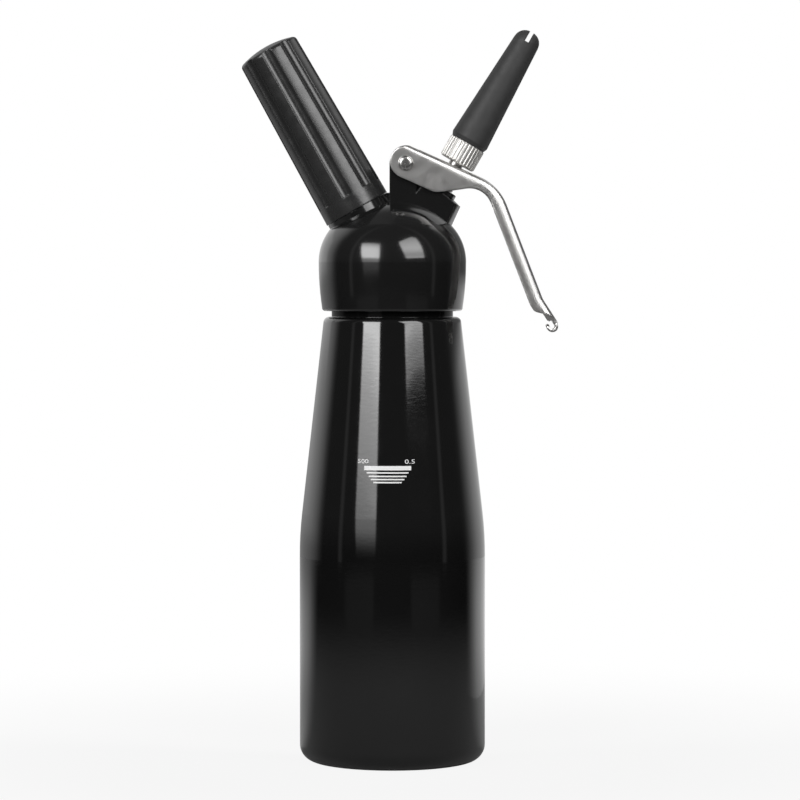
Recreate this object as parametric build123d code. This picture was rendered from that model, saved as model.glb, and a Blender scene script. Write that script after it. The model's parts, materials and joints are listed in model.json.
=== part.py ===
from build123d import *
from math import cos, pi, radians, sin, sqrt, tan
import os

# Cream whipper of half a litre, in millimetres and degrees.
# The origin is the middle of the foot and +Z is up. The lever, the valve axis and the charger axis
# all lie in the XZ plane, the valve leaning to +X and the charger holder to -X.

# Bottle
base_r = 39.0
bottle_wall = 1.2
cylinder_h = 95.5
shoulder_z = 187.0
shoulder_r = 28.7
base_round = 7.0
body_blend = 160.0
shoulder_round = 2.5
ledge_share = 0.8
foot_inner_r = 25.0
dish_h = 3.0
dish_run = 7.0
neck_collar_r = 25.5
neck_collar_h = 3.4
neck_root_r = 24.6
neck_bore_r = 22.0
neck_h = 16.0

# Head casting
head_gap = 2.5
head_rim_r = 29.35
head_belly_swell = 1.6
head_belly_rise = 20.5
dome_rise = 25.65
dome_shoulder_r = 22.0
head_wall = 4.0
rim_round = 1.2
neck_thread_gap = 1.6
gasket_t = 2.4
gasket_gap = 0.3
throat_r = 21.5

# Charger boss and the charge valve in it
charger_tilt = 29.5
charger_axis_rise = 16.5
boss_r = 14.0
boss_stand = 3.75
spigot_root_r = 10.2
spigot_h = 12.3
socket_r = 4.7
socket_depth = 8.9
charge_boss_r = 7.6
charge_boss_drop = 9.0
charge_thread_r = 3.6
charge_flange_t = 1.5
charge_bore_r = 1.0
nipple_r = 2.4
nipple_len = 7.5
nipple_lip_r = 3.0
nipple_lip_t = 1.2
sleeve_t = 1.0
charger_seal_t = 1.5
pin_r = 1.2
pin_bore_r = 0.45
pin_root = 4.0
pin_reach = 2.9
pin_slant = 40.0

# Gas charger and its holder
charger_len = 66.0
charger_r = 9.2
charger_neck_r = 4.3
charger_neck_len = 9.0
charger_slope_len = 6.5
charger_end_flat_r = 0.6
charger_wall = 1.3
charger_lip_round = 0.5
charger_throat_round = 2.2
holder_gap = 0.2
holder_open_r = 14.4
holder_end_r = 13.1
holder_end_wall = 5.1
holder_dome = 2.3
holder_edge_round = 1.8
holder_play = 0.5
holder_thread_gap = 0.9
flute_count = 9
flute_width = 5.0
flute_depth = 1.15
flute_low_margin = 6.6
flute_start = -93.0

# Valve tower, yoke and gland
valve_tilt = 30.0
valve_axis_rise = 15.3
tower_r = 10.5
tower_base_r = 11.4
tower_h = 8.45
tower_chamfer = 1.0
pad_r = 11.6
pad_drop = 10.6
pad_chamfer = 1.6
yoke_half = 7.1
yoke_back = 6.74
yoke_top_r = 5.6
rib_half = 5.0
valve_boss_r = 8.6
seat_drop = 21.9
chamber_r = 4.2
gland_r = 6.0
gland_depth = 8.4
gland_flange_r = 6.8
gland_flange_t = 2.0
spring_pocket_r = 4.9
spring_pocket_depth = 5.0
o_ring_section = 2.0

# Stem, seal, collar and spring
stem_r = 3.0
stem_bore_r = 1.9
stem_thread_depth = 0.3
stem_slide_gap = 0.06
valve_disc_r = 7.0
valve_disc_t = 2.0
valve_seal_t = 1.45
valve_seal_r = 6.4
seat_gap = 0.05
port_r = 1.0
port_rise = 1.7
port_sump = 0.6
collar_r = 5.4
collar_t = 2.1
collar_round = 0.6
contact_gap = 0.1
spring_wire = 0.9
spring_mean_r = 4.1
spring_turns = 6
spring_seat_gap = 0.06
spring_samples = 40

# Lever
lever_arm = 18.39
pivot_rise = 3.19
lever_rest_angle = 5.8
lever_sheet = 1.5
lever_half = 9.0
lever_bend_r = 2.4
web_rise = 7.49
cheek_depth = 13.6
web_start = 2.9
belly_end = 16.35
belly_slope = 32.5
belly_round = 8.0
arch_round = 9.6
arm_len = 39.5
arm_depth = 5.5
arm_bend_r = 21.0
tail_turn = 44.7
tail_len = 50.73
flick_turn = 11.9
flick_len = 12.0
knee_r = 10.0
tongue_depth = 3.0
flange_overrun = 3.4
tongue_round = 7.0
pivot_pin_r = 2.0
pivot_gap = 0.05
rivet_head_r = 3.25
rivet_head_h = 1.5
rivet_round = 1.35
lever_slot_gap = 0.5

# Adapter and decorating tip
adapter_gap = 1.45
adapter_r = 7.85
adapter_h = 9.35
adapter_chamfer = 0.7
knurl_count = 30
knurl_r = 0.5
adapter_socket_depth = 5.7
adapter_socket_gap = 0.4
washer_t = 1.0
washer_gap = 0.1
stub_r = 5.1
stub_len = 7.4
stub_bore_r = 2.4
tip_len = 53.75
tip_base_r = 8.2
tip_end_r = 5.35
tip_chamfer = 0.8
tip_chamfer_h = 1.8
tip_end_flat_r = 0.35
tip_wall = 1.8
tip_thread_gap = 0.5
tip_slot_w = 1.7
tip_slot_depth = 4.8

# Heights on the upright axis
neck_top_z = shoulder_z + neck_h
rim_z = shoulder_z + head_gap
ledge_z = neck_top_z + gasket_t
belly_z = rim_z + head_belly_rise
dome_top_z = belly_z + dome_rise
charger_axis_z = rim_z + charger_axis_rise
valve_axis_z = rim_z + valve_axis_rise
head_thread_r = neck_root_r + neck_thread_gap
head_belly_r = head_rim_r + head_belly_swell

# The dome is a shoulder arc that runs smoothly into a crown arc centred on the upright axis
dome_reach_in = head_belly_r - dome_shoulder_r
crown_r = (dome_reach_in**2 + dome_rise**2 - dome_shoulder_r**2) / (2 * (dome_rise - dome_shoulder_r))
crown_z = dome_top_z - crown_r


def tilted_plane(height, lean):
    """The frame of an axis that leaves the upright axis at a height and leans by lean degrees towards +X."""
    side = radians(lean)
    return Plane(origin=(0, 0, height), x_dir=(cos(side), 0, -sin(side)), z_dir=(sin(side), 0, cos(side)))


def crown_reach(height, lean, offset):
    """Distance along such an axis to the crown, at an offset from the axis on its inner side."""
    drop = crown_z - height
    across = offset - drop * sin(radians(lean))
    return drop * cos(radians(lean)) + sqrt(crown_r**2 - across**2)


valve_frame = tilted_plane(valve_axis_z, valve_tilt)
charger_frame = tilted_plane(charger_axis_z, -charger_tilt)

# Distances along the charger axis
boss_top = crown_reach(charger_axis_z, charger_tilt, boss_r) + boss_stand
spigot_top = boss_top + spigot_h
socket_floor = spigot_top - socket_depth
charge_flange_top = socket_floor + charge_flange_t
charger_nose = charge_flange_top + charger_seal_t
charger_end = charger_nose + charger_len
charger_end_round = charger_r - charger_end_flat_r
charge_boss_low = crown_reach(charger_axis_z, charger_tilt, 0) - charge_boss_drop
nipple_low = charge_boss_low - nipple_len
holder_rim = boss_top + holder_gap
holder_end = charger_end + holder_play + holder_end_wall
holder_bore_r = charger_r + holder_play
holder_thread_r = spigot_root_r + holder_thread_gap

# Distances along the valve axis
tower_top = crown_reach(valve_axis_z, valve_tilt, 0) + tower_h
pad_top = tower_top - pad_drop
seat_a = tower_top - seat_drop
gland_low = tower_top - gland_depth
o_ring_low = gland_low - o_ring_section
gland_top = tower_top + gland_flange_t
pocket_floor = gland_top - spring_pocket_depth
pivot_a = tower_top + pivot_rise
rest_slope = tan(radians(lever_rest_angle))
rest_secant = 1 / cos(radians(lever_rest_angle))
web_top_a = pivot_a + web_rise * rest_secant + lever_arm * rest_slope
web_under_a = pivot_a + (web_rise - lever_sheet) * rest_secant + lever_arm * rest_slope
collar_top = web_under_a - (collar_r - collar_round) * rest_slope - contact_gap
collar_low = collar_top - collar_t
seal_top = seat_a - seat_gap
disc_top = seal_top - valve_seal_t
adapter_low = web_top_a + adapter_gap
adapter_top = adapter_low + adapter_h
socket_top = adapter_low + adapter_socket_depth
stem_top = socket_top - washer_t - washer_gap
stub_top = adapter_top + stub_len
tip_end = adapter_top + tip_len
tip_round = tip_end_r - tip_end_flat_r
stem_thread_r = stem_r - stem_thread_depth

# The lever turns about this point, and its web slopes down towards the tail
pivot = valve_frame.from_local_coords((-lever_arm, 0, pivot_a))
web_slope = radians(valve_tilt - lever_rest_angle)
lever_frame = Plane(origin=pivot, x_dir=(cos(web_slope), 0, -sin(web_slope)), z_dir=(0, -1, 0))


def rounded_face(*corners):
    """A face whose corners are (x, y) or (x, y, rounding)."""
    points = [corner[:2] for corner in corners]
    radii = [corner[2] if len(corner) == 3 else 0 for corner in corners]
    return make_face(FilletPolyline(*points, radius=radii, close=True))


def turned(*corners):
    """A solid of revolution about Z, from corners of (radius, height) or (radius, height, rounding)."""
    return revolve(Plane.XZ * rounded_face(*corners), Axis.Z)


def ring(inner_r, outer_r, low, high):
    """A plain ring or, with no inner radius, a rod."""
    return turned((inner_r, low), (outer_r, low), (outer_r, high), (inner_r, high))


def dome_solid(inset, floor_z):
    """The head's outline set in by inset, turned about Z and filled down to floor_z."""
    belly = Vector(head_belly_r - inset, belly_z)
    foot = Vector(head_rim_r - inset, floor_z)
    outward = Vector(dome_reach_in, belly_z - crown_z).normalized()
    join = Vector(0, crown_z) + outward * (crown_r - inset)
    top = Vector(0, dome_top_z - inset)
    side = TangentArc(belly, foot, tangent=(0, -1))
    shoulder = TangentArc(belly, join, tangent=(0, 1))
    crown = TangentArc(join, top, tangent=(-outward.Y, outward.X))
    profile = make_face([side, shoulder, crown, Line(top, (0, floor_z)), Line((0, floor_z), foot)])
    return revolve(Plane.XZ * profile, Axis.Z)


def bottle():
    """Drawn bottle: cylinder, cone, stepped shoulder and a neck that carries the thread."""
    collar_top_z = shoulder_z + neck_collar_h
    ledge_round = min(shoulder_round, ledge_share * (shoulder_r - neck_collar_r))
    return turned(
        (0, dish_h),
        (foot_inner_r - dish_run, dish_h, dish_run),
        (foot_inner_r, 0),
        (base_r, 0, base_round),
        (base_r, cylinder_h, body_blend),
        (shoulder_r, shoulder_z, ledge_round),
        (neck_collar_r, shoulder_z),
        (neck_collar_r, collar_top_z),
        (neck_root_r, collar_top_z),
        (neck_root_r, neck_top_z),
        (neck_bore_r, neck_top_z),
        (neck_bore_r, shoulder_z, shoulder_round),
        (shoulder_r - bottle_wall, shoulder_z - 2 * shoulder_round, shoulder_round),
        (base_r - bottle_wall, cylinder_h, body_blend - bottle_wall),
        (base_r - bottle_wall, bottle_wall, base_round - bottle_wall),
        (foot_inner_r, bottle_wall),
        (foot_inner_r - dish_run, dish_h + bottle_wall, dish_run),
        (0, dish_h + bottle_wall),
    )


def head():
    """Cast head with its boss, tower and yoke, hollow inside and bored for both valves."""
    outer = dome_solid(0, rim_z)
    rim_edge = outer.edges().filter_by(GeomType.CIRCLE).sort_by(Axis.Z)[0]
    outer = fillet(rim_edge, rim_round)
    outer += charger_frame * charger_boss()
    outer += valve_frame * valve_tower()
    outer += yoke()
    outer += rib()
    core = dome_solid(head_wall, belly_z) + ring(0, head_belly_r, rim_z, belly_z)
    cavity = ring(0, throat_r, ledge_z, dome_top_z) & core
    cavity += ring(0, head_thread_r, rim_z - head_gap, ledge_z)
    body = outer - cavity
    body += charger_frame * ring(0, charge_boss_r, charge_boss_low, boss_top - head_wall)
    body += valve_frame * ring(0, valve_boss_r, seat_a, pad_top)
    body -= charger_frame * charge_bore()
    body -= valve_frame * valve_bore()
    body -= Plane(origin=pivot, z_dir=(0, 1, 0)) * ring(0, pivot_pin_r + pivot_gap, -lever_half, lever_half)
    return body


def charger_boss():
    """Round boss with the spigot that the holder screws on to."""
    return turned(
        (0, 0),
        (boss_r, 0),
        (boss_r, boss_top),
        (spigot_root_r, boss_top),
        (spigot_root_r, spigot_top),
        (0, spigot_top),
    )


def charge_bore():
    """Threaded hole for the charge valve, with the wider socket for the cartridge neck above it."""
    return turned(
        (0, nipple_low),
        (charge_thread_r, nipple_low),
        (charge_thread_r, socket_floor),
        (socket_r, socket_floor),
        (socket_r, spigot_top + holder_gap),
        (0, spigot_top + holder_gap),
    )


def valve_tower():
    """Round tower with flats for the lever's cheeks, on a wider chamfered pad."""
    column = turned(
        (0, 0),
        (tower_base_r, 0),
        (tower_base_r, pad_top),
        (tower_r, tower_top - tower_chamfer),
        (gland_flange_r + contact_gap, tower_top),
        (0, tower_top),
    )
    flats = Box(4 * tower_base_r, 2 * yoke_half, 2 * tower_top)
    pad = turned(
        (0, 0),
        (pad_r, 0),
        (pad_r, pad_top - pad_chamfer),
        (pad_r - pad_chamfer, pad_top),
        (0, pad_top),
    )
    return (column & flats) + pad


def valve_bore():
    """Stepped bore from the seat up: chamber, ring groove and gland thread."""
    groove_r = stem_r + stem_slide_gap + o_ring_section
    return turned(
        (0, 0),
        (chamber_r, 0),
        (chamber_r, o_ring_low),
        (groove_r, o_ring_low),
        (groove_r, gland_low),
        (gland_r, gland_low),
        (gland_r, gland_top),
        (0, gland_top),
    )


def yoke():
    """Upright ear between the lever's cheeks, round at the top, that holds the pivot pin."""
    back = pivot.X - yoke_back
    front = back + 2 * yoke_top_r
    foot_z = belly_z + dome_shoulder_r / 2
    ear = make_face(Polyline((back, foot_z), (back, pivot.Z), (front, pivot.Z), (front, foot_z), close=True))
    ear += Pos(back + yoke_top_r, pivot.Z) * Circle(yoke_top_r)
    return extrude(Plane.XZ * ear, amount=yoke_half, both=True)


def rib():
    """Low web between the charger boss and the yoke."""
    boss_edge = charger_frame.from_local_coords((boss_r, 0, boss_top))
    length = pivot.X - boss_edge.X
    height = boss_edge.Z - belly_z
    block = Box(length, 2 * rib_half, height, align=(Align.MIN, Align.CENTER, Align.MAX))
    return Pos(boss_edge.X, 0, boss_edge.Z) * block


def head_gasket():
    """Flat ring that the mouth of the bottle presses against the head's ledge."""
    return ring(neck_bore_r, head_thread_r - gasket_gap, neck_top_z, ledge_z)


def charge_valve():
    """Brass body: flange in the socket, thread through the boss and a nipple with side ports."""
    body = turned(
        (0, nipple_low),
        (nipple_lip_r, nipple_low),
        (nipple_lip_r, nipple_low + nipple_lip_t),
        (nipple_r, nipple_low + nipple_lip_t),
        (nipple_r, charge_boss_low),
        (charge_thread_r, charge_boss_low),
        (charge_thread_r, socket_floor),
        (socket_r, socket_floor),
        (socket_r, charge_flange_top),
        (0, charge_flange_top),
    )
    port_a = (nipple_low + charge_boss_low) / 2
    body -= ring(0, charge_bore_r, port_a - charge_bore_r, charge_flange_top)
    body -= ring(0, pin_r, charge_flange_top - pin_root, charge_flange_top)
    port = Cylinder(charge_bore_r / 2, 4 * nipple_r)
    body -= Pos(0, 0, port_a) * Rot(90, 0, 0) * port
    return body


def check_sleeve():
    """Rubber sleeve stretched over the nipple's ports."""
    return ring(nipple_r, nipple_r + sleeve_t, nipple_low + nipple_lip_t, charge_boss_low)


def piercing_pin():
    """Hollow needle, cut to a slant at its point."""
    low = charge_flange_top - pin_root
    high = charger_nose + pin_reach
    needle = ring(pin_bore_r, pin_r, low, high)
    slant = Box(8 * pin_r, 8 * pin_r, 4 * pin_r, align=(Align.CENTER, Align.CENTER, Align.MIN))
    return needle - Pos(0, 0, high - pin_r) * Rot(0, pin_slant, 0) * slant


def charger_seal():
    """Ring round the needle that seals the cartridge's neck."""
    return ring(pin_r + pin_bore_r, socket_r, charge_flange_top, charger_nose)


def gas_charger():
    """Hollow steel cartridge, neck towards the head and already pierced."""
    tip = charger_nose
    slope_low = tip + charger_neck_len
    slope_high = slope_low + charger_slope_len
    pierced_r = pin_r + pin_bore_r
    inner_r = charger_r - charger_wall
    return turned(
        (pierced_r, tip),
        (charger_neck_r, tip, charger_lip_round),
        (charger_neck_r, slope_low, charger_throat_round),
        (charger_r, slope_high, charger_slope_len),
        (charger_r, charger_end, charger_end_round),
        (0, charger_end),
        (0, charger_end - charger_wall),
        (inner_r, charger_end - charger_wall, charger_end_round - charger_wall),
        (inner_r, slope_high, charger_slope_len - charger_wall),
        (charger_neck_r - charger_wall, slope_low + charger_wall, charger_throat_round),
        (charger_neck_r - charger_wall, tip + charger_wall),
        (pierced_r, tip + charger_wall),
    )


def charger_holder():
    """Moulded tube with a domed end, thread bore, cartridge bore and long flutes."""
    dome_low = holder_end - holder_dome
    body = turned(
        (0, holder_rim),
        (holder_open_r, holder_rim),
        (holder_end_r, dome_low),
        (0, dome_low),
    )
    cap_r = (holder_end_r**2 + holder_dome**2) / (2 * holder_dome)
    cap = Pos(0, 0, holder_end - cap_r) * Sphere(cap_r)
    body += cap & ring(0, holder_end_r, dome_low, holder_end)
    corner = body.edges().filter_by(GeomType.CIRCLE).filter_by_position(Axis.Z, dome_low, dome_low)
    body = fillet(corner, holder_edge_round)
    for number in range(flute_count):
        body -= Rot(0, 0, flute_start + number * 360 / flute_count) * flute(dome_low)
    body -= ring(0, holder_thread_r, holder_rim, spigot_top + holder_play)
    body -= ring(0, holder_bore_r, spigot_top, charger_end + holder_play)
    return body


def flute(dome_low):
    """A round-bottomed groove along the tapered wall, square below and open at the rounded end."""
    length = dome_low - holder_rim
    draft = (holder_open_r - holder_end_r) / length
    low = holder_rim + flute_low_margin
    wall_r = holder_open_r - draft * flute_low_margin
    groove_r = 1 / (8 * flute_depth / flute_width**2 - 1 / wall_r)
    start = Vector(wall_r + groove_r - flute_depth, 0, low)
    run = Plane(origin=start, x_dir=(1, 0, draft), z_dir=(-draft, 0, 1))
    return run * ring(0, groove_r, 0, holder_end - low)


def valve_gland():
    """Screwed ring that guides the stem and holds the spring."""
    body = turned(
        (0, gland_low),
        (gland_r, gland_low),
        (gland_r, tower_top),
        (gland_flange_r, tower_top),
        (gland_flange_r, gland_top, gland_flange_t / 3),
        (0, gland_top),
    )
    body -= ring(0, stem_r + stem_slide_gap, gland_low, gland_top)
    return body - ring(0, spring_pocket_r, pocket_floor, gland_top)


def stem_o_ring():
    """Ring under the gland, round in section."""
    section_r = o_ring_section / 2
    centre_r = stem_r + stem_slide_gap + section_r
    return Pos(0, 0, o_ring_low + section_r) * Torus(centre_r, section_r)


def valve_stem():
    """Hollow stem with the valve disc at its foot, side ports above it and a threaded end."""
    body = turned(
        (0, disc_top - valve_disc_t),
        (valve_disc_r, disc_top - valve_disc_t, valve_disc_t / 3),
        (valve_disc_r, disc_top),
        (stem_r, disc_top),
        (stem_r, adapter_low),
        (stem_thread_r, adapter_low),
        (stem_thread_r, stem_top),
        (0, stem_top),
    )
    port_a = seat_a + port_rise
    body -= ring(0, stem_bore_r, port_a - port_r - port_sump, stem_top)
    for turn in (0, 90):
        body -= Pos(0, 0, port_a) * Rot(0, 0, turn) * Rot(90, 0, 0) * Cylinder(port_r, 4 * stem_r)
    return body


def valve_seal():
    """Rubber ring on the disc that closes against the seat."""
    return ring(stem_r, valve_seal_r, disc_top, seal_top)


def stem_collar():
    """Collar fixed on the stem, between the spring and the lever's web."""
    return turned(
        (stem_r, collar_low),
        (collar_r, collar_low),
        (collar_r, collar_top, collar_round),
        (stem_r, collar_top),
    )


def biarc(start, start_way, end, end_way):
    """Two arcs that join smoothly and meet both ends along the given directions."""
    chord = end - start
    ways = start_way + end_way
    bend = 2 * (1 - start_way.dot(end_way))
    reach = (sqrt(chord.dot(ways) ** 2 + bend * chord.dot(chord)) - chord.dot(ways)) / bend
    first = start + start_way * reach
    second = end - end_way * reach
    middle = (first + second) * 0.5
    return [TangentArc(start, middle, tangent=start_way), TangentArc(middle, end, tangent=second - first)]


def least_gap(wire):
    """Least clear distance between the spring's turns, measured on points along its wire."""
    count = spring_samples * spring_turns
    points = [wire.position_at(number / count) for number in range(count + 1)]
    spacings = []
    for number, point in enumerate(points):
        next_turn = points[number + spring_samples // 2 :]
        spacings += [(other - point).length for other in next_turn]
    return min(spacings) - spring_wire


def valve_spring():
    """Compression spring, one unbroken helical wire from the gland's pocket to the collar."""
    low = pocket_floor + spring_wire / 2 + spring_seat_gap
    high = collar_low - spring_wire / 2 - spring_seat_gap
    pitch = (high - low) / spring_turns
    slope = pitch / (2 * pi)
    steps = 4 * spring_turns

    def point(step):
        angle = step * pi / 2
        return Vector(spring_mean_r * cos(angle), spring_mean_r * sin(angle), low + slope * angle)

    def way(step):
        angle = step * pi / 2
        return Vector(-spring_mean_r * sin(angle), spring_mean_r * cos(angle), slope).normalized()

    arcs = []
    for step in range(steps):
        arcs += biarc(point(step), way(step), point(step + 1), way(step + 1))
    wire = Wire(arcs)
    section = Plane(origin=point(0), z_dir=way(0)) * Circle(spring_wire / 2)
    print("valve_spring least gap to itself, mm:", round(least_gap(wire), 3))
    return sweep(section, path=wire)


def inset(points, depth):
    """The points of a bent line moved to its right by depth, so that each stretch stays parallel."""
    ways = [(b - a).normalized() for a, b in zip(points, points[1:])]
    normals = [Vector(way.Y, -way.X) for way in ways]
    moved = [points[0] + normals[0] * depth]
    for point, before, after in zip(points[1:-1], normals, normals[1:]):
        moved.append(point + (before + after) * (depth / (1 + before.dot(after))))
    moved.append(points[-1] + normals[-1] * depth)
    return moved


def heading(turn):
    """A direction in the lever's frame, turned down from the web by turn degrees."""
    return Vector(cos(radians(turn)), -sin(radians(turn)))


def lever_line(start):
    """The outer line of the lever from start: web, tail and flicked tip."""
    corner = Vector(arm_len, web_rise)
    knee = corner + heading(tail_turn) * tail_len
    tip = knee + heading(tail_turn - flick_turn) * flick_len
    return [Vector(start, web_rise), corner, knee, tip]


def crossing(first, first_way, second, second_way):
    """The point where two lines meet, each given by a point and a direction."""
    apart = second - first
    across = first_way.X * second_way.Y - first_way.Y * second_way.X
    return first + first_way * ((apart.X * second_way.Y - apart.Y * second_way.X) / across)


def lever_outline():
    """What the channel is trimmed to, seen from its side, standing proud of the web by one sheet."""
    line = lever_line(0)
    above = inset(line, -lever_sheet)
    edge = inset(line, arm_depth)
    tongue = inset(line, tongue_depth)
    flick = heading(tail_turn - flick_turn)
    belly = Vector(belly_end, web_rise - cheek_depth)
    arch = crossing(belly, heading(-belly_slope), edge[1], heading(tail_turn))
    flange_end = edge[2] + flick * flange_overrun
    flange_foot = tongue[2] + flick * (flange_overrun + arm_depth - tongue_depth)
    foot = Vector(0, belly.Y)
    corners = [line[0], *above, tongue[3], flange_foot, flange_end, edge[2], arch, belly, foot]
    roundings = [0, arm_bend_r, knee_r, 0, 0, lever_sheet, lever_sheet, knee_r, arch_round, belly_round]
    round_end = ThreePointArc(foot, (-cheek_depth / 2, web_rise - cheek_depth / 2), line[0])
    return make_face([FilletPolyline(*corners, radius=roundings), round_end])


def lever():
    """Pressed channel, swept along the lever's line and trimmed to its outline."""
    line = lever_line(-cheek_depth)
    path = FilletPolyline(*line, radius=[arm_bend_r, knee_r])
    depth = cheek_depth + lever_sheet
    outer = rounded_face(
        (-lever_half, -depth),
        (-lever_half, 0, lever_bend_r),
        (lever_half, 0, lever_bend_r),
        (lever_half, -depth),
    )
    half = lever_half - lever_sheet
    bend = lever_bend_r - lever_sheet
    hollow = rounded_face(
        (-half, -depth),
        (-half, -lever_sheet, bend),
        (half, -lever_sheet, bend),
        (half, -depth),
    )
    section = Plane(origin=line[0], x_dir=(0, 0, -1), z_dir=(1, 0, 0)) * (outer - hollow)
    channel = sweep(section, path=path)
    channel &= extrude(lever_outline(), amount=2 * lever_half, both=True)
    gap = Box(2 * cheek_depth, 2 * cheek_depth, 2 * half)
    channel -= Pos(web_start - cheek_depth, 0) * gap
    channel -= ring(0, pivot_pin_r, -2 * lever_half, 2 * lever_half)
    channel -= lever_slot()
    return lever_frame * (channel - tongue_corners(line[3]))


def lever_slot():
    """Slot in the web that lets the stem stand upright while the lever turns."""
    middle_depth = web_rise - lever_sheet / 2
    shift = 2 * middle_depth * rest_slope
    centre = lever_arm * (1 + rest_secant) / 2
    radius = stem_r + lever_slot_gap
    slot = SlotCenterToCenter(shift, 2 * radius)
    web = Plane(origin=(centre, web_rise, 0), x_dir=(1, 0, 0), z_dir=(0, 1, 0))
    return extrude(web * slot, amount=-2 * lever_sheet)


def tongue_corners(tip):
    """What is cut away to round the corners of the lever's tip."""
    flick = heading(tail_turn - flick_turn)
    plane = Plane(origin=tip, x_dir=flick, z_dir=(-flick.Y, flick.X, 0))
    square = Rectangle(tongue_round, 3 * lever_half, align=(Align.MAX, Align.CENTER))
    keep = RectangleRounded(4 * tongue_round, 2 * lever_half, tongue_round, align=(Align.MAX, Align.CENTER))
    return extrude(plane * (square - keep), amount=2 * tongue_depth, both=True)


def lever_pin():
    """Rivet through the cheeks and the yoke, with a domed head on each side."""
    end = lever_half + rivet_head_h
    return Plane(origin=pivot, z_dir=(0, 1, 0)) * turned(
        (0, -end),
        (rivet_head_r, -end, rivet_round),
        (rivet_head_r, -lever_half),
        (pivot_pin_r, -lever_half),
        (pivot_pin_r, lever_half),
        (rivet_head_r, lever_half),
        (rivet_head_r, end, rivet_round),
        (0, end),
    )


def nozzle_adapter():
    """Nut with a straight knurl that screws on to the stem, and a stub for the decorating tip."""
    rim = Circle(adapter_r)
    for number in range(knurl_count):
        rim -= Rot(0, 0, number * 360 / knurl_count) * Pos(adapter_r + knurl_r / 3) * Circle(knurl_r)
    nut = Pos(0, 0, adapter_low) * extrude(rim, amount=adapter_h)
    nut &= turned(
        (0, adapter_low),
        (adapter_r - adapter_chamfer, adapter_low),
        (adapter_r, adapter_low + adapter_chamfer),
        (adapter_r, adapter_top - adapter_chamfer / 2),
        (adapter_r - adapter_chamfer / 2, adapter_top),
        (0, adapter_top),
    )
    nut += ring(0, stub_r, adapter_top, stub_top)
    nut -= ring(0, stem_thread_r + adapter_socket_gap, adapter_low, socket_top)
    return nut - ring(0, stub_bore_r, socket_top, stub_top)


def adapter_washer():
    """Ring at the end of the adapter's socket, pressed on the end of the stem."""
    return ring(stem_bore_r, stem_thread_r + adapter_socket_gap / 2, socket_top - washer_t, socket_top)


def decorator_tip():
    """Tapered tip with a round end, opened by two crossed slots."""
    body = turned(
        (0, adapter_top),
        (tip_base_r - tip_chamfer, adapter_top),
        (tip_base_r, adapter_top + tip_chamfer_h),
        (tip_end_r, tip_end, tip_round),
        (0, tip_end),
    )
    bore_r = stub_r + tip_thread_gap
    bore_top = stub_top + tip_wall
    body -= turned(
        (0, adapter_top),
        (bore_r, adapter_top),
        (bore_r, stub_top),
        (bore_r - tip_thread_gap, bore_top),
        (tip_end_r - tip_wall, tip_end - tip_wall, tip_round - tip_wall),
        (0, tip_end - tip_wall),
    )
    for turn in (0, 90):
        slot = Box(tip_slot_w, 4 * tip_end_r, 2 * tip_slot_depth)
        body -= Pos(0, 0, tip_end) * Rot(0, 0, turn) * slot
    return body


def main():
    """Write one file for each piece."""
    pieces = {
        "bottle": bottle(),
        "head": head(),
        "head_gasket": head_gasket(),
        "lever": lever(),
        "lever_pin": lever_pin(),
    }
    on_charger_axis = [charge_valve, check_sleeve, piercing_pin, charger_seal, gas_charger, charger_holder]
    for make in on_charger_axis:
        pieces[make.__name__] = charger_frame * make()
    on_valve_axis = [valve_gland, stem_o_ring, valve_stem, valve_seal, stem_collar, valve_spring]
    on_valve_axis += [nozzle_adapter, adapter_washer, decorator_tip]
    for make in on_valve_axis:
        pieces[make.__name__] = valve_frame * make()
    os.makedirs("parts", exist_ok=True)
    for name, piece in pieces.items():
        export_step(piece, f"parts/{name}.step")


main()
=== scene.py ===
import json
import math

import bmesh
import bpy
from mathutils import Matrix, Vector

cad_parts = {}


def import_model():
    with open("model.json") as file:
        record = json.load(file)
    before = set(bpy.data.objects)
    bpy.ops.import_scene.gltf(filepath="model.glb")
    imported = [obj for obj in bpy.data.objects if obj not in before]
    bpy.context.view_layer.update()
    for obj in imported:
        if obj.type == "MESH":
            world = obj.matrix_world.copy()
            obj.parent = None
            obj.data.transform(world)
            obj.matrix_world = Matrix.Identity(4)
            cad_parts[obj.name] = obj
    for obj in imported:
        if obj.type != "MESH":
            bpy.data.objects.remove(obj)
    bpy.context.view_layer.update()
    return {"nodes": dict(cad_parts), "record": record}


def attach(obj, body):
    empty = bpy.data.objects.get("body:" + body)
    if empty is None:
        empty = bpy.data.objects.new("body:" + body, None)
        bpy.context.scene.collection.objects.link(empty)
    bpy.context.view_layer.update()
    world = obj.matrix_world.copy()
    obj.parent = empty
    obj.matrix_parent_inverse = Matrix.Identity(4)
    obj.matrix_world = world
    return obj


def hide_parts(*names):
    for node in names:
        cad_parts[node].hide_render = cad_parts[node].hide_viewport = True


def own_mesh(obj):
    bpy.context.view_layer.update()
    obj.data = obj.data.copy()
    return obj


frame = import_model()

# Sizes are in metres. MM turns the part's millimetres into them.
MM = 0.001
JOINTS = {row["name"]: row for row in frame["record"]["behaviour"]["joints"]}


def joint_frame(name):
    """Frame of a hinge: local Z runs along its axis, local Y is the row's Y."""
    row = JOINTS[name]
    along = Vector(row["axis"]).normalized()
    across = Vector((0, 1, 0))
    turn = Matrix((across.cross(along), across, along)).transposed()
    return Matrix.Translation(row["pos_m"]) @ turn.to_4x4()


# The origins are the middle of the adapter's lower face and the middle of the holder's rim
VALVE = joint_frame("adapter_turn")
CHARGER = joint_frame("holder_turn")
UPRIGHT = Matrix.Identity(4)


# Node helpers

# Places of the vector sockets on a Mix node
MIX_FACTOR = 0
MIX_FIRST = 4
MIX_SECOND = 5
MIX_RESULT = 1


def grey(level):
    return (level, level, level)


def grey_stops(stops):
    """Colour stops from (place, level) stops."""
    return [(place, grey(level)) for place, level in stops]


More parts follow.
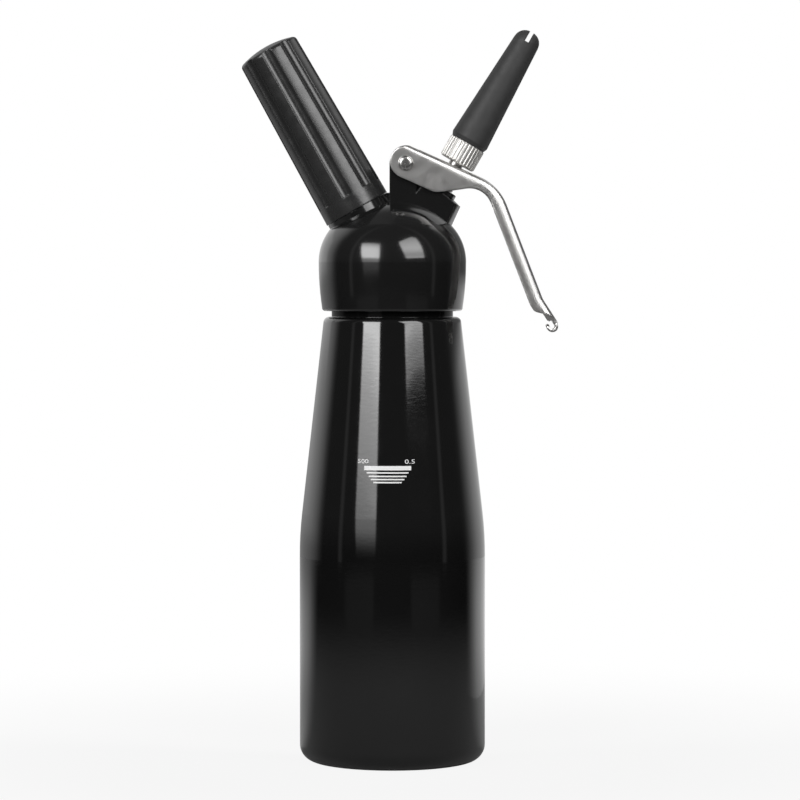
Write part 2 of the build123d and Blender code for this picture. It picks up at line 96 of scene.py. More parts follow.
class Nodes:
    """A node tree with short ways to add nodes and feed their sockets."""

    def __init__(self, tree):
        self.tree = tree

    def node(self, kind, **settings):
        node = self.tree.nodes.new(kind)
        for key, value in settings.items():
            setattr(node, key, value)
        return node

    def feed(self, socket, source):
        """Sets a socket to a number, colour or vector, or wires it to another socket."""
        if isinstance(source, bpy.types.NodeSocket):
            self.tree.links.new(source, socket)
        else:
            socket.default_value = source

    def add(self, kind, output, inputs, **settings):
        """Adds a node, feeds its inputs and gives one of its outputs."""
        node = self.node(kind, **settings)
        for key, source in inputs.items():
            self.feed(node.inputs[key], source)
        return node.outputs[output]

    def sum(self, operation, *sources):
        """A sum on numbers."""
        return self.add("ShaderNodeMath", "Value", dict(enumerate(sources)), operation=operation)

    def measure(self, operation, *sources):
        """A sum on vectors that gives a number."""
        return self.add("ShaderNodeVectorMath", "Value", dict(enumerate(sources)), operation=operation)

    def vector(self, operation, *sources):
        """A sum on vectors that gives a vector."""
        return self.add("ShaderNodeVectorMath", "Vector", dict(enumerate(sources)), operation=operation)

    def slide(self, source, start, end, low, high, course="LINEAR"):
        """Goes evenly from low to high as the source goes from start to end."""
        inputs = {"Value": source, "From Min": start, "From Max": end, "To Min": low, "To Max": high}
        return self.add("ShaderNodeMapRange", "Result", inputs, interpolation_type=course)

    def step(self, source, start, end, low, high):
        """Goes smoothly from low to high as the source goes from start to end."""
        return self.slide(source, start, end, low, high, "SMOOTHSTEP")

    def mix(self, share, first, second):
        """Blend of two numbers."""
        inputs = {"Factor": share, "A": first, "B": second}
        return self.add("ShaderNodeMix", "Result", inputs, data_type="FLOAT")

    def mix_vectors(self, share, first, second):
        """Blend of two vectors."""
        inputs = {MIX_FACTOR: share, MIX_FIRST: first, MIX_SECOND: second}
        return self.add("ShaderNodeMix", MIX_RESULT, inputs, data_type="VECTOR")

    def ramp(self, source, stops):
        """Colours by (place, colour) stops."""
        node = self.node("ShaderNodeValToRGB")
        elements = node.color_ramp.elements
        while len(elements) < len(stops):
            elements.new(0.5)
        for element, (place, colour) in zip(elements, stops):
            element.position = place
            element.color = (*colour, 1)
        self.feed(node.inputs["Fac"], source)
        return node.outputs["Color"]

    def split(self, vector):
        node = self.node("ShaderNodeSeparateXYZ")
        self.feed(node.inputs["Vector"], vector)
        return node.outputs


# The values between which a noise mostly stays, and the rays that soften a plain edge and a fine one
NOISE_LOW = 0.3
NOISE_HIGH = 0.7
EDGE_RAYS = 6
FINE_RAYS = 16

# The lean over which a wide bend takes over from a narrow edge
BEND_ONSET = 0.04


class Shader(Nodes):
    """A piece's material, with its noises in the piece's own coordinates."""

    def __init__(self, name):
        self.material = bpy.data.materials.new(name)
        self.material.use_nodes = True
        super().__init__(self.material.node_tree)
        self.surface = self.tree.nodes["Principled BSDF"].inputs
        self.coords = self.node("ShaderNodeTexCoord").outputs["Object"]

    def set(self, **values):
        """Numbers that are the same all over, with _ for a blank in a socket's name."""
        for key, value in values.items():
            self.surface[key.replace("_", " ")].default_value = value

    def noise(self, cells, detail=2.0, stretch=None):
        """Noise by its cells per metre, with a share for each axis where it is stretched."""
        source = self.coords
        if stretch:
            source = self.add("ShaderNodeMapping", "Vector", {"Vector": source, "Scale": stretch})
        return self.add("ShaderNodeTexNoise", "Fac", {"Vector": source, "Scale": cells, "Detail": detail})

    def tint(self, source, dark, light):
        """Base colour that varies between two tones with a noise."""
        self.feed(self.surface["Base Color"], self.ramp(source, [(NOISE_LOW, dark), (NOISE_HIGH, light)]))

    def rough(self, source, low, high):
        """Roughness that varies between two values with a noise."""
        self.feed(self.surface["Roughness"], self.slide(source, NOISE_LOW, NOISE_HIGH, low, high))

    def edges(self, radius, rays=EDGE_RAYS):
        """Normal that is softened near edges."""
        return self.add("ShaderNodeBevel", "Normal", {"Radius": radius}, samples=rays)

    def carry(self, direction, start, end):
        """A direction, taken from one space to another."""
        return self.add(
            "ShaderNodeVectorTransform", "Vector", {"Vector": direction},
            vector_type="VECTOR", convert_from=start, convert_to=end,
        )

    def bend(self, wide, narrow, out):
        """Normal that is rounded widely on the edges that face out, in the piece's own axes,
        and narrowly elsewhere."""
        broad = self.edges(wide, FINE_RAYS)
        flat = self.node("ShaderNodeNewGeometry").outputs["Normal"]
        own = self.carry(self.vector("SUBTRACT", broad, flat), "WORLD", "OBJECT")
        lean = self.measure("DOT_PRODUCT", own, out)
        return self.mix_vectors(self.slide(lean, 0, BEND_ONSET, 0, 1), self.edges(narrow), broad)

    def roll(self, normal, out, stops):
        """Normal whose lean towards out, in the piece's own axes, is changed by (lean, new lean) stops."""
        own = self.carry(normal, "WORLD", "OBJECT")
        lean = self.measure("DOT_PRODUCT", own, out)
        change = self.sum("SUBTRACT", self.ramp(lean, grey_stops(stops)), lean)
        shift = self.add("ShaderNodeVectorMath", "Vector", {0: out, "Scale": change}, operation="SCALE")
        return self.carry(self.vector("ADD", own, shift), "OBJECT", "WORLD")

    def relief(self, normal, *layers):
        """A normal with layers of (noise, depth in metres) on top."""
        for source, depth in layers:
            inputs = {"Strength": 1.0, "Distance": depth, "Height": source, "Normal": normal}
            normal = self.add("ShaderNodeBump", "Normal", inputs)
        self.feed(self.surface["Normal"], normal)


# Finishes

# Enamel: how far its tone and roughness vary, its softened edges, and the fine grain and the peel on it, by
# cells per metre, detail and, for the peel, a share for each axis
PAINT_DARK = 0.88
PAINT_LIGHT = 1.12
PAINT_TONE_CELLS = 40
PAINT_ROUGH = (0.03, 0.07)
PAINT_ROUGH_CELLS = 120
PAINT_EDGE = 0.4 * MM
PAINT_GRAIN = (300, 1.0)
PAINT_GRAIN_DEPTH = 0.002 * MM
PAINT_PEEL = (340, 2.0, (1, 1, 2.6))
PAINT_PEEL_DEPTH = 0.012 * MM

# The neck above the bottle's shoulder loses its gloss, as painted shade that keeps the gap under the head
# dark, and the change runs over a short height.
# The rows have a socket with its value below and above.
NECK_FOOT = 187.1 * MM
NECK_FADE = 0.3 * MM
NECK_CHANGES = (("Coat Weight", 1, 0), ("Specular IOR Level", 0.5, 0.08))

# Lever: the ways that its outer side faces over the web and along the arm, and the arm's change of lean
LEVER_OUT = (0.67, 0, 0.74)
ARM_OUT = (0.88, 0, 0.475)
ARM_ROLL = (
    (0.0, 0.0), (0.02, 0.04), (0.05, 0.18), (0.15, 0.26), (0.4, 0.34), (0.58, 0.36), (0.7, 0.55),
    (0.82, 0.8), (1.0, 1.0),
)

# Along X, the lever's bends widen from the web to the arm, and the change of lean sets in.
# Each row has start, end, low and high.
BEND_WIDENS = (5 * MM, 46 * MM, 1.5 * MM, 6.8 * MM)
ROLL_SETS_IN = (37 * MM, 43 * MM, 0, 1)
LEVER_EDGE = 0.8 * MM
LEVER_GRAIN = (2400, 2.0, (1, 1, 0.35))
LEVER_GRAIN_DEPTH = 0.0008 * MM


def black_paint(name, gloss, tone, painted_shade_from=None):
    """Black enamel over metal, with a faint orange peel. The gloss is its coat's roughness.
    Above the given height the coat is left off and the gloss dulled, as painted shade."""
    s = Shader(name)
    s.set(IOR=1.5, Coat_Weight=1.0, Coat_IOR=1.5, Coat_Roughness=gloss)
    # Painted shade: the neck loses its coat and gloss, so the gap under the head shows dark.
    if painted_shade_from:
        height = s.split(s.coords)["Z"]
        for socket, below, above in NECK_CHANGES:
            s.feed(s.surface[socket], s.slide(height, painted_shade_from, painted_shade_from + NECK_FADE, below, above))
    s.tint(s.noise(PAINT_TONE_CELLS), grey(tone * PAINT_DARK), grey(tone * PAINT_LIGHT))
    smooth, dull = PAINT_ROUGH
    s.rough(s.noise(PAINT_ROUGH_CELLS), gloss + smooth, gloss + dull)
    grain = (s.noise(*PAINT_GRAIN), PAINT_GRAIN_DEPTH)
    peel = (s.noise(*PAINT_PEEL), PAINT_PEEL_DEPTH)
    s.relief(s.edges(PAINT_EDGE), grain, peel)
    return s.material


def shaded(name, tint, rough, **values):
    """A shader whose tone and roughness vary: tint is (cells per metre, detail, dark, light) and rough is
    (cells per metre, detail, low, high)."""
    s = Shader(name)
    s.set(**values)
    cells, detail, dark, light = tint
    s.tint(s.noise(cells, detail), dark, light)
    cells, detail, low, high = rough
    s.rough(s.noise(cells, detail), low, high)
    return s


def grained(name, edge, grain, rays=EDGE_RAYS, **look):
    """A finish with edges softened by a radius and a grain of (cells per metre, detail, depth), with the
    radius and the depth in millimetres."""
    s = shaded(name, **look)
    cells, detail, depth = grain
    s.relief(s.edges(edge * MM, rays), (s.noise(cells, detail), depth * MM))
    return s.material


def lever_steel():
    """Tumbled stainless sheet, slightly clouded, bright along the rounded bends of its outer side."""
    s = shaded(
        "lever_steel", Metallic=1.0, tint=(160, 4.0, (0.76, 0.75, 0.735), (0.82, 0.81, 0.795)),
        rough=(240, 3.0, 0.3, 0.36),
    )
    along = s.split(s.coords)["X"]
    plain = s.bend(s.slide(along, *BEND_WIDENS), LEVER_EDGE, LEVER_OUT)
    rolled = s.roll(plain, ARM_OUT, ARM_ROLL)
    normal = s.mix_vectors(s.slide(along, *ROLL_SETS_IN), plain, rolled)
    s.relief(normal, (s.noise(*LEVER_GRAIN), LEVER_GRAIN_DEPTH))
    return s.material


FINISHES = {
    "black_paint": black_paint("black_paint", gloss=0.03, tone=0.0056, painted_shade_from=NECK_FOOT),
    # Satin black moulded plastic with a fine grain and rounded flute edges
    "holder_plastic": grained(
        "holder_plastic", IOR=1.5, Specular_IOR_Level=0.85, tint=(160, 3.0, grey(0.02), grey(0.025)),
        rough=(260, 2.0, 0.22, 0.3), edge=0.7, grain=(2200, 2.0, 0.02),
    ),
    # Matte dark grey plastic
    "tip_plastic": grained(
        "tip_plastic", IOR=1.48, tint=(220, 3.0, grey(0.038), grey(0.046)),
        rough=(300, 2.0, 0.5, 0.6), edge=0.3, grain=(3000, 2.0, 0.02),
    ),
    # Turned stainless steel
    "stainless": grained(
        "turned_steel", Metallic=1.0, tint=(160, 4.0, (0.6, 0.59, 0.575), (0.67, 0.66, 0.645)),
        rough=(240, 3.0, 0.25, 0.33), edge=0.2, grain=(2400, 2.0, 0.002),
    ),
    # Bright nickel plating, softened by handling
    "nickel": grained(
        "nickel", Metallic=1.0, tint=(500, 2.0, (0.8, 0.785, 0.76), (0.86, 0.845, 0.82)),
        rough=(800, 2.0, 0.42, 0.5), edge=0.3, grain=(1600, 1.0, 0.003),
    ),
    # Zinc-plated steel, slightly cloudy
    "plated_steel": grained(
        "plated_steel", Metallic=1.0, tint=(300, 3.0, grey(0.52), grey(0.62)),
        rough=(500, 2.0, 0.22, 0.34), edge=0.2, grain=(900, 2.0, 0.006),
    ),
    # Turned brass
    "brass": grained(
        "brass", Metallic=1.0, tint=(300, 2.0, (0.66, 0.5, 0.24), (0.76, 0.59, 0.3)),
        rough=(700, 2.0, 0.2, 0.3), edge=0.2, grain=(1400, 1.0, 0.004),
    ),
    # Black rubber with a dull skin
    "seal_rubber": grained(
        "seal_rubber", IOR=1.5, tint=(400, 3.0, grey(0.016), grey(0.024)),
        rough=(600, 2.0, 0.6, 0.75), edge=0.2, grain=(2500, 2.0, 0.015),
    ),
}
HEAD_PAINT = black_paint("head_paint", gloss=0.09, tone=0.0095)
# Polished steel with faint turning marks and a domed look
RIVET_STEEL = grained(
    "rivet_steel", Metallic=1.0, tint=(900, 2.0, (0.76, 0.75, 0.735), (0.84, 0.83, 0.815)),
    rough=(1500, 2.0, 0.22, 0.28), edge=1.9, rays=FINE_RAYS, grain=(1200, 1.0, 0.003),
)
# Screen-printed white ink, slightly uneven
WHITE_PRINT = grained(
    "white_print", IOR=1.5, tint=(900, 3.0, grey(0.88), grey(0.95)),
    rough=(1500, 2.0, 0.35, 0.5), edge=0.02, grain=(4000, 2.0, 0.004),
)
OWN_FINISH = {
    "lever": lever_steel(),
    "lever_pin": RIVET_STEEL,
    "head": HEAD_PAINT,
    "valve_gland": HEAD_PAINT,
}


def dress(piece, material):
    piece.data.materials.clear()
    piece.data.materials.append(material)


for row in frame["record"]["subparts"]:
    name = row["node"]
    dress(frame["nodes"][name], OWN_FINISH.get(name, FINISHES[row["material_slot"]]))


# Pieces made here: threads, the spring, the lever's lip and the fill mark

def link(name, data):
    """A new object in the scene."""
    made = bpy.data.objects.new(name, data)
    bpy.context.scene.collection.objects.link(made)
    return made


def add_piece(name, mesh_bm, body, slot, material=None, smooth=True):
    """A closed mesh that rides on a body and takes a slot's finish."""
    mesh = bpy.data.meshes.new(name)
    bmesh.ops.recalc_face_normals(mesh_bm, faces=mesh_bm.faces[:])
    mesh_bm.to_mesh(mesh)
    mesh_bm.free()
    for face in mesh.polygons:
        face.use_smooth = smooth
    piece = link(name, mesh)
    dress(piece, material or FINISHES[slot])
    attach(piece, body)
    return piece


def loft(sections):
    """Closed tube through rings of points, with a face on each end."""
    bm = bmesh.new()
    rings = [[bm.verts.new(point) for point in ring] for ring in sections]
    for near, far in zip(rings, rings[1:]):
        for i in range(len(near)):
            j = (i + 1) % len(near)
            bm.faces.new((near[i], near[j], far[j], far[i]))
    bm.faces.new(rings[0])
    bm.faces.new(rings[-1])
    return bm


# Threads: the turn from section to section, the turn over which an end fades, and shares of the pitch for
# the ridge's half widths and of its height for the ends and for what is sunk in the root
THREAD_STEP = math.radians(7.5)
THREAD_FADE = math.radians(70)
THREAD_FOOT = 0.42
THREAD_CREST = 0.1
THREAD_END = 0.06
THREAD_SUNK = 0.06

# Name, frame, root radius, crest radius, pitch, low end, high end, body and slot
THREADS = (
    ("neck_thread", UPRIGHT, 24.6, 25.7, 3.0, 192.4, 201.2, "bottle", "black_paint"),
    ("spigot_thread", CHARGER, 10.2, 10.9, 2.0, 1.24, 10.84, "head", "black_paint"),
    ("stem_thread", VALVE, 2.7, 3.0, 1.0, 0.69, 3.99, "stem", "stainless"),
    ("stub_thread", VALVE, 5.1, 5.5, 1.5, 10.39, 15.74, "nozzle", "nickel"),
)


def thread(name, place, root, crest, pitch, low, high, body, slot):
    """Right-handed ridge round an axis, fading in and out at its ends. Sizes in millimetres."""
    whole = (high - low) / pitch * math.tau
    steps = round(whole / THREAD_STEP)
    sunk = root - THREAD_SUNK * (crest - root)
    sections = []
    for step in range(steps + 1):
        angle = step / steps * whole
        fade = min(1, angle / THREAD_FADE, (whole - angle) / THREAD_FADE)
        tall = root + (crest - root) * max(fade, THREAD_END)
        height = low + angle / math.tau * pitch
        out = Vector((math.cos(angle), math.sin(angle), 0))
        ring = []
        corners = ((sunk, -THREAD_FOOT), (tall, -THREAD_CREST), (tall, THREAD_CREST), (sunk, THREAD_FOOT))
        for radius, shift in corners:
            point = out * radius + Vector((0, 0, height + shift * pitch))
            ring.append(place @ (point * MM))
        sections.append(ring)
    return add_piece(name, loft(sections), body, slot, smooth=False)


for row in THREADS:
    thread(*row)

# The valve spring: one helical wire from the gland's pocket to the collar
SPRING_WIRE = 0.45
SPRING_MEAN = 4.1
SPRING_TURNS = 6
SPRING_SIDES = 12
SPRING_STEPS_A_TURN = 40
POCKET_FLOOR = -17.036
COLLAR_FOOT = -5.645
SPRING_PLAY = 0.06
SPRING_LOW = POCKET_FLOOR + SPRING_PLAY
SPRING_HIGH = COLLAR_FOOT - SPRING_PLAY


def valve_spring():
    steps = SPRING_TURNS * SPRING_STEPS_A_TURN
    rise = SPRING_HIGH - SPRING_LOW - 2 * SPRING_WIRE
    climb = Vector((0, 0, rise / SPRING_TURNS / math.tau))
    sections = []
    for step in range(steps + 1):
        share = step / steps
        angle = share * SPRING_TURNS * math.tau
        height = SPRING_LOW + SPRING_WIRE + share * rise
        out = Vector((math.cos(angle), math.sin(angle), 0))
        way = Vector((-math.sin(angle), math.cos(angle), 0)) * SPRING_MEAN + climb
        side = way.normalized().cross(out)
        centre = out * SPRING_MEAN + Vector((0, 0, height))
        ring = []
        for number in range(SPRING_SIDES):
            turn = number / SPRING_SIDES * math.tau
            point = centre + (out * math.cos(turn) + side * math.sin(turn)) * SPRING_WIRE
            ring.append(VALVE @ (point * MM))
        sections.append(ring)
    return add_piece("spring_wire", loft(sections), "head", "plated_steel")


spring = valve_spring()
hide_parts("valve_spring")
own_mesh(spring)

# The rolled lip of the lever: it starts inside the end of the tongue, rolls in and ends in a short leg.
# The rows of its end have the distance back from it, what is cut from the half width, and the share of
# the sheet's thickness.
LIP_START = Vector((68.53, 0, 183.85))
LIP_WAY = Vector((0.547, 0, -0.837))
LIP_IN = Vector((-0.837, 0, -0.547))
LIP_ROOT = 2.2
LIP_ROOT_CUT = 0.8
LIP_ROLL = 1.7
LIP_TURN = math.radians(190)
LIP_STEPS = 20
LIP_LEG = 1.7
LIP_HALF = 4.3
LIP_SHEET = 1.3
LIP_CHAMFER = 0.25
LIP_END = ((0.8, 0.15, 1.0), (0.25, 0.6, 1.0), (0.0, 1.1, 0.65))
LIP_SHARP = math.radians(35)


def lip_ring(centre, out, half, thick):
    """Section of the lip's sheet, with its corners cut."""
    side = Vector((0, 1, 0))
    h = thick / 2
    c = LIP_CHAMFER
    corners = (
        (half, c - h), (half, h - c), (half - c, h), (c - half, h),
        (-half, h - c), (-half, c - h), (c - half, -h), (half - c, -h),
    )
    return [(centre + side * across + out * up) * MM for across, up in corners]


def lip_out(turn):
    """The way that the lip's outer side faces after a turn of its roll."""
    return LIP_WAY * math.sin(turn) - LIP_IN * math.cos(turn)


def lever_lip():
    sections = [lip_ring(LIP_START - LIP_WAY * LIP_ROOT, -LIP_IN, LIP_HALF - LIP_ROOT_CUT, LIP_SHEET)]
    middle = LIP_START + LIP_IN * LIP_ROLL
    for step in range(LIP_STEPS + 1):
        out = lip_out(step / LIP_STEPS * LIP_TURN)
        sections.append(lip_ring(middle + out * LIP_ROLL, out, LIP_HALF, LIP_SHEET))
    out = lip_out(LIP_TURN)
    on = LIP_WAY * math.cos(LIP_TURN) + LIP_IN * math.sin(LIP_TURN)
    end = middle + out * LIP_ROLL + on * LIP_LEG
    for back, cut, share in LIP_END:
        sections.append(lip_ring(end - on * back, out, LIP_HALF - cut, LIP_SHEET * share))
    lip = add_piece("lever_lip", loft(sections), "lever", "stainless", RIVET_STEEL)
    lip.data.set_sharp_from_angle(angle=LIP_SHARP)


lever_lip()

# The fill mark, printed on the cone of the bottle: the cone's ends by height and radius, the mark's turn
# from the front in degrees, the bar by low edge, high edge and half width, and the lines by height and half
# width
CONE_LOW = (95.5, 39.0)
CONE_HIGH = (187.0, 28.7)
MARK_TURN = -3.1
MARK_BAR = (124.5, 126.25, 9.78)
MARK_LINES = ((123.45, 8.68), (122.01, 7.84), (120.73, 6.95), (119.5, 5.87))
MARK_LINE = 0.58
MARK_COLUMNS = 24
INK = 0.03
INK_GAP = 0.012

# Name, numerals, middle measured round the cone, low edge, height and width
MARK_NUMBERS = (
    ("mark_number_left", "500", -10.3, 127.3, 1.75, 4.6),
    ("mark_number_right", "0.5", 9.2, 127.2, 1.75, 4.2),
)
LETTER_DEPTH = 0.5
LETTER_FINENESS = 3
LETTER_WELD = 1e-5


def cone_point(arc, z, lift):
    """A point on the bottle's cone: arc is measured round it from the front, in millimetres."""
    slope = (CONE_HIGH[1] - CONE_LOW[1]) / (CONE_HIGH[0] - CONE_LOW[0])
    radius = CONE_LOW[1] + (z - CONE_LOW[0]) * slope
    angle = arc / radius + math.radians(MARK_TURN)
    out = Vector((math.sin(angle), -math.cos(angle), 0))
    return out * (radius + lift) * MM + Vector((0, 0, z * MM))


def mark_bar(name, low, high, half):
    """A thin printed bar, wrapped on the cone."""
    sections = []
    for column in range(MARK_COLUMNS + 1):
        arc = half * (2 * column / MARK_COLUMNS - 1)
        sections.append([
            cone_point(arc, low, INK_GAP),
            cone_point(arc, high, INK_GAP),
            cone_point(arc, high, INK_GAP + INK),
            cone_point(arc, low, INK_GAP + INK),
        ])
    return add_piece(name, loft(sections), "bottle", "black_paint", WHITE_PRINT, smooth=False)


def letters_mesh(name, words):
    """Mesh of words in the built-in font."""
    curve = bpy.data.curves.new(name, "FONT")
    curve.body = words
    curve.extrude = LETTER_DEPTH
    curve.resolution_u = LETTER_FINENESS
    letters = link(name, curve)
    bpy.context.view_layer.update()
    mesh = bpy.data.meshes.new_from_object(letters.evaluated_get(bpy.context.evaluated_depsgraph_get()))
    bpy.data.objects.remove(letters)
    bpy.data.curves.remove(curve)
    bm = bmesh.new()
    bm.from_mesh(mesh)
    bpy.data.meshes.remove(mesh)
    bmesh.ops.remove_doubles(bm, verts=bm.verts[:], dist=LETTER_WELD)
    bmesh.ops.triangulate(bm, faces=bm.faces[:])
    return bm


def mark_number(name, words, middle, low, height, width):
    """Plain numerals, wrapped on the cone."""
    bm = letters_mesh(name, words)
    xs = [v.co.x for v in bm.verts]
    ys = [v.co.y for v in bm.verts]
    for v in bm.verts:
        across = (v.co.x - min(xs)) / (max(xs) - min(xs)) - 0.5
        up = (v.co.y - min(ys)) / (max(ys) - min(ys))
        lift = INK_GAP + (INK if v.co.z > 0 else 0)
        v.co = cone_point(middle + across * width, low + up * height, lift)
    return add_piece(name, bm, "bottle", "black_paint", WHITE_PRINT, smooth=False)


mark_bar("mark_bar", *MARK_BAR)
for number, (middle, half) in enumerate(MARK_LINES):
    mark_bar(f"mark_line_{number + 1}", middle - MARK_LINE / 2, middle + MARK_LINE / 2, half)
for row in MARK_NUMBERS:
    mark_number(*row)


# Floor: lit by the lamps, with painted light and shade in its colour: dark in front and darker further out,
# paler behind the object. For the camera it is close to white.
# The rows below have start, end, low and high. Distances are from the object's axis, and directions are
# shares of the distance, or of the least distance in the middle: right is along X and behind is along Y.
FLOOR_R = 1.05
FLOOR_SIDES = 96
LEAST_DISTANCE = 0.01
FRONT_BY_DISTANCE = (0.28, 0.74, 0.25, 0.02)
BESIDE_FROM = (0.33, 0.42, 0.0, 1.0)
BESIDE_TO = (0.82, 0.92, 1.0, 0.0)
BESIDE_BY_DISTANCE = (0.88, 1.05, 0.08, 0.0)
REAR_BY_DISTANCE = (0.2, 0.5, 0.62, 0.95)
REAR_FADE = (0.6, 1.05, 1.0, 0.7)
REAR_TO_RIGHT = (0.1, 0.5, 1.0, 0.72)
REAR_FROM = (0.2, 0.65, 0.0, 1.0)
# The share of plain white that the camera sees, so that some shadow shows near the foot
WHITE_BY_DISTANCE = (0.1, 0.4, 0.9, 1.0)


def floor_material():
    material = bpy.data.materials.new("floor")
    material.use_nodes = True
    w = Nodes(material.node_tree)
    w.tree.nodes.clear()
    place = w.node("ShaderNodeTexCoord").outputs["Object"]
    far = w.measure("LENGTH", place)
    x, y, _ = w.split(place)
    some = w.sum("MAXIMUM", far, LEAST_DISTANCE)
    behind = w.sum("DIVIDE", y, some)
    right = w.sum("DIVIDE", x, some)
    beside = w.sum("ABSOLUTE", right)
    sides = w.sum("MULTIPLY", w.step(beside, *BESIDE_FROM), w.step(beside, *BESIDE_TO))
    sides = w.sum("MULTIPLY", sides, w.step(far, *BESIDE_BY_DISTANCE))
    front = w.sum("MAXIMUM", w.step(far, *FRONT_BY_DISTANCE), sides)
    rear = w.sum("MULTIPLY", w.step(far, *REAR_BY_DISTANCE), w.step(far, *REAR_FADE))
    rear = w.sum("MULTIPLY", rear, w.step(right, *REAR_TO_RIGHT))
    diffuse = w.node("ShaderNodeBsdfDiffuse")
    # Painted light and shade: the floor's colour by where it lies, dark in front and paler behind, for the
    # object's reflections.
    w.feed(diffuse.inputs["Color"], w.mix(w.step(behind, *REAR_FROM), front, rear))
    white = w.node("ShaderNodeEmission")
    camera_ray = w.node("ShaderNodeLightPath").outputs["Is Camera Ray"]
    blend = w.node("ShaderNodeMixShader")
    w.feed(blend.inputs["Fac"], w.sum("MULTIPLY", camera_ray, w.step(far, *WHITE_BY_DISTANCE)))
    w.feed(blend.inputs[1], diffuse.outputs["BSDF"])
    w.feed(blend.inputs[2], white.outputs["Emission"])
    w.feed(w.node("ShaderNodeOutputMaterial").inputs["Surface"], blend.outputs["Shader"])
    return material


def floor():
    bm = bmesh.new()
    bmesh.ops.create_circle(bm, cap_ends=True, cap_tris=True, segments=FLOOR_SIDES, radius=FLOOR_R)
    mesh = bpy.data.meshes.new("floor")
    bm.to_mesh(mesh)
    bm.free()
    piece = link("floor", mesh)
    dress(piece, floor_material())


floor()


# Light: a softbox on each side of the camera, three weak cards behind the object, one low on the right, one
# high on the right and one on the left, and a world that is pale behind

def aim(thing, place, way):
    """Puts a lamp or a camera in its place, looking a way."""
    thing.location = place
    thing.rotation_mode = "QUATERNION"
    thing.rotation_quaternion = way.to_track_quat("-Z", "Y")


def softbox(name, azimuth, reach, corners, blur, radiance, rise):
    """Upright lamp that faces the object's axis, with azimuth 0 towards the camera. Its lit part has a
    convex run of (across, height) corners with soft edges. Its light changes by (height, share) stops."""
    left = min(across for across, _ in corners) - blur
    low = min(height for _, height in corners) - blur
    width = max(across for across, _ in corners) + blur - left
    tall = max(height for _, height in corners) + blur - low
    lamp = bpy.data.lights.new(name, "AREA")
    lamp.shape = "RECTANGLE"
    lamp.size = width
    lamp.size_y = tall
    lamp.energy = radiance * math.pi * width * tall
    lamp.use_nodes = True
    w = Nodes(lamp.node_tree)
    place = w.node("ShaderNodeNewGeometry").outputs["Parametric"]
    stops = [((height - low) / tall, share) for height, share in rise]
    light = w.ramp(w.split(place)["Y"], grey_stops(stops))
    for (s0, z0), (s1, z1) in zip(corners, corners[1:] + corners[:1]):
        run = math.hypot(s1 - s0, z1 - z0)
        way = ((z0 - z1) * width / run, (s1 - s0) * tall / run, 0)
        edge = ((s1 - s0) * (z0 - low) - (z1 - z0) * (s0 - left)) / run
        inside = w.step(w.measure("DOT_PRODUCT", place, way), edge - blur, edge + blur, 0.0, 1.0)
        light = w.sum("MULTIPLY", light, inside)
    w.feed(w.tree.nodes["Emission"].inputs["Strength"], light)
    turn = math.radians(azimuth)
    out = Vector((math.sin(turn), -math.cos(turn), 0))
    side = Vector((math.cos(turn), math.sin(turn), 0))
    middle = out * reach + side * (left + width / 2) + Vector((0, 0, low + tall / 2))
    stand = link(name, lamp)
    aim(stand, middle, -out)
    stand.visible_camera = False


softbox(
    "softbox_left", azimuth=-34.5, reach=2.2, blur=0.06, radiance=7.2,
    corners=[(-0.4, -0.01), (0.54, -0.01), (0.57, 0.92), (0.458, 2.09), (-0.917, 1.99)],
    rise=(
        (-0.015, 0.0), (0.077, 0.024), (0.171, 0.077), (0.289, 0.16), (0.405, 0.21), (0.435, 0.255),
        (0.452, 0.35), (0.509, 0.43), (0.538, 0.5), (0.555, 0.565), (0.57, 0.67), (0.591, 0.86), (0.61, 1.0),
        (0.661, 0.88), (1.3, 0.86), (1.5, 0.78), (1.77, 0.54), (2.0, 0.28), (2.15, 0.1),
    ),
)
softbox(
    "softbox_right", azimuth=33, reach=1.08, blur=0.03, radiance=5.0,
    corners=[(-0.215, 0.3), (0.345, 0.3), (0.355, 1.52), (0.2, 1.66), (-0.39, 1.3), (-0.385, 1.05)],
    rise=(
        (0.34, 0.0), (0.35, 0.02), (0.355, 0.1), (0.36, 0.34), (0.373, 0.4), (0.378, 0.49), (0.384, 0.62),
        (0.39, 0.82), (0.396, 1.0), (0.41, 0.58), (0.54, 0.54), (0.67, 0.78), (0.81, 0.9), (1.2, 0.7),
        (1.6, 0.45),
    ),
)
softbox(
    "card_right", azimuth=125, reach=0.25, blur=0.075, radiance=0.43,
    corners=[(-0.065, 0.0), (0.35, 0.0), (0.35, 0.3), (-0.065, 0.3)],
    rise=((0.0, 1.0), (0.182, 1.0), (0.2, 0.0)),
)
softbox(
    "card_left", azimuth=-150, reach=0.4, blur=0.02, radiance=0.2,
    corners=[(-0.25, 0.2), (0.22, 0.2), (0.22, 0.4), (-0.25, 0.4)],
    rise=((0.2, 1.0), (0.4, 1.0)),
)
softbox(
    "card_high", azimuth=132, reach=0.3, blur=0.03, radiance=0.75,
    corners=[(-0.12, 0.42), (0.12, 0.42), (0.12, 0.62), (-0.12, 0.62)],
    rise=((0.42, 1.0), (0.6, 1.0)),
)

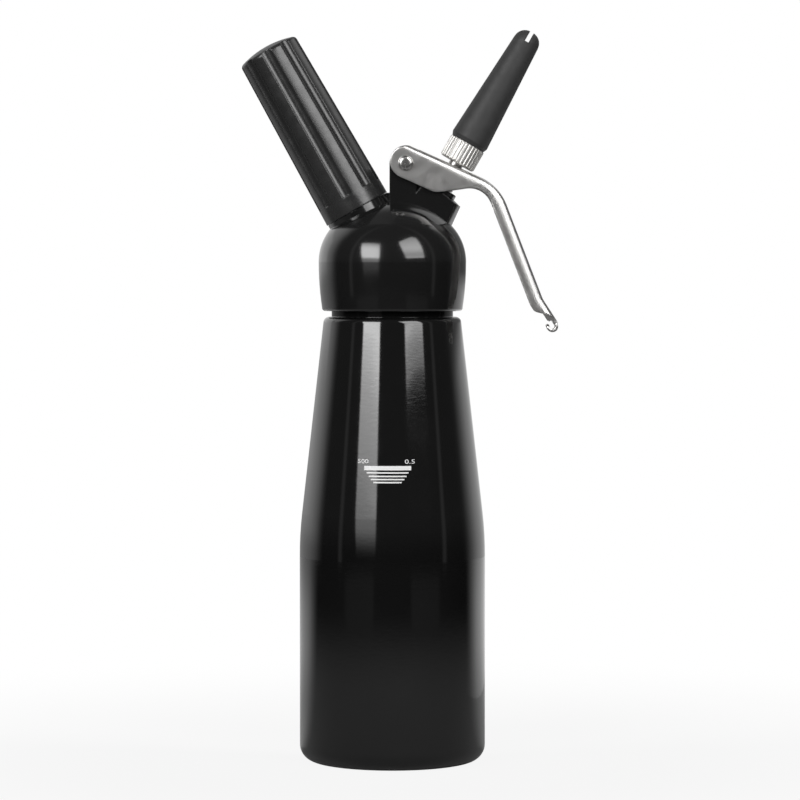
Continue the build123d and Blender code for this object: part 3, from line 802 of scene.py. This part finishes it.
# World, as gloss shows it: the light behind by its turn from the camera, in shares of half a turn, the
# fainter light in front, and a thin line on each side. The other rows have start, end, low and high.
BACK_BY_TURN = (
    (0.535, 0.0), (0.556, 0.05), (0.583, 0.17), (0.61, 0.33), (0.639, 0.45), (0.689, 0.55), (0.75, 0.53),
    (0.822, 0.46), (0.9, 0.39), (1.0, 0.36),
)
SIDE_LINES = ((0.355, 0.0), (0.372, 0.12), (0.384, 0.12), (0.4, 0.0))
BACK_TO_RIGHT = (0.05, 0.35, 1.0, 0.22)
BACK_BELOW = (-0.07, 0.02, 0.6, 1.0)
BACK_ABOVE = (0.62, 0.9, 1.0, 0.15)
FRONT_BY_HEIGHT = (-0.08, 0.12, 0.01, 0.045)
LEAST_REACH = 1e-4
# World, as matte surfaces get it
AMBIENT = 0.25


def world():
    scene_world = bpy.data.worlds.new("studio")
    bpy.context.scene.world = scene_world
    scene_world.use_nodes = True
    scene_world.cycles.sampling_method = "NONE"
    w = Nodes(scene_world.node_tree)
    x, y, z = w.split(w.node("ShaderNodeTexCoord").outputs["Generated"])
    squares = w.sum("ADD", w.sum("POWER", x, 2.0), w.sum("POWER", y, 2.0))
    reach = w.sum("MAXIMUM", w.sum("SQRT", squares), LEAST_REACH)
    to_camera = w.sum("DIVIDE", w.sum("MULTIPLY", y, -1.0), reach)
    turn = w.sum("DIVIDE", w.sum("ARCCOSINE", to_camera), math.pi)
    back = w.ramp(turn, grey_stops(BACK_BY_TURN))
    for source, share in ((w.sum("DIVIDE", x, reach), BACK_TO_RIGHT), (z, BACK_BELOW), (z, BACK_ABOVE)):
        back = w.sum("MULTIPLY", back, w.step(source, *share))
    front = w.sum("ADD", w.step(z, *FRONT_BY_HEIGHT), w.ramp(turn, grey_stops(SIDE_LINES)))
    seen = w.sum("ADD", back, front)
    path = w.node("ShaderNodeLightPath").outputs
    mirrored = w.sum("MAXIMUM", path["Is Glossy Ray"], path["Is Transmission Ray"])
    shown = w.mix(path["Is Camera Ray"], w.mix(mirrored, AMBIENT, seen), 1.0)
    background = w.tree.nodes["Background"].inputs
    w.feed(background["Color"], (1, 1, 1, 1))
    w.feed(background["Strength"], shown)


world()

# Camera: the photograph's view, a long lens from a little above. The lens and its sensor are in millimetres.
CAMERA_AT = Vector((0.0032, -1.54, 0.2145))
CAMERA_AIM = Vector((0.0032, 0, 0.152))
CAMERA_SENSOR = 36
CAMERA_LENS = 165
camera_data = bpy.data.cameras.new("camera")
camera_data.sensor_width = CAMERA_SENSOR
camera_data.lens = CAMERA_LENS
camera = link("camera", camera_data)
aim(camera, CAMERA_AT, CAMERA_AIM - CAMERA_AT)
bpy.context.scene.camera = camera
bpy.context.scene.view_settings.view_transform = "Standard"
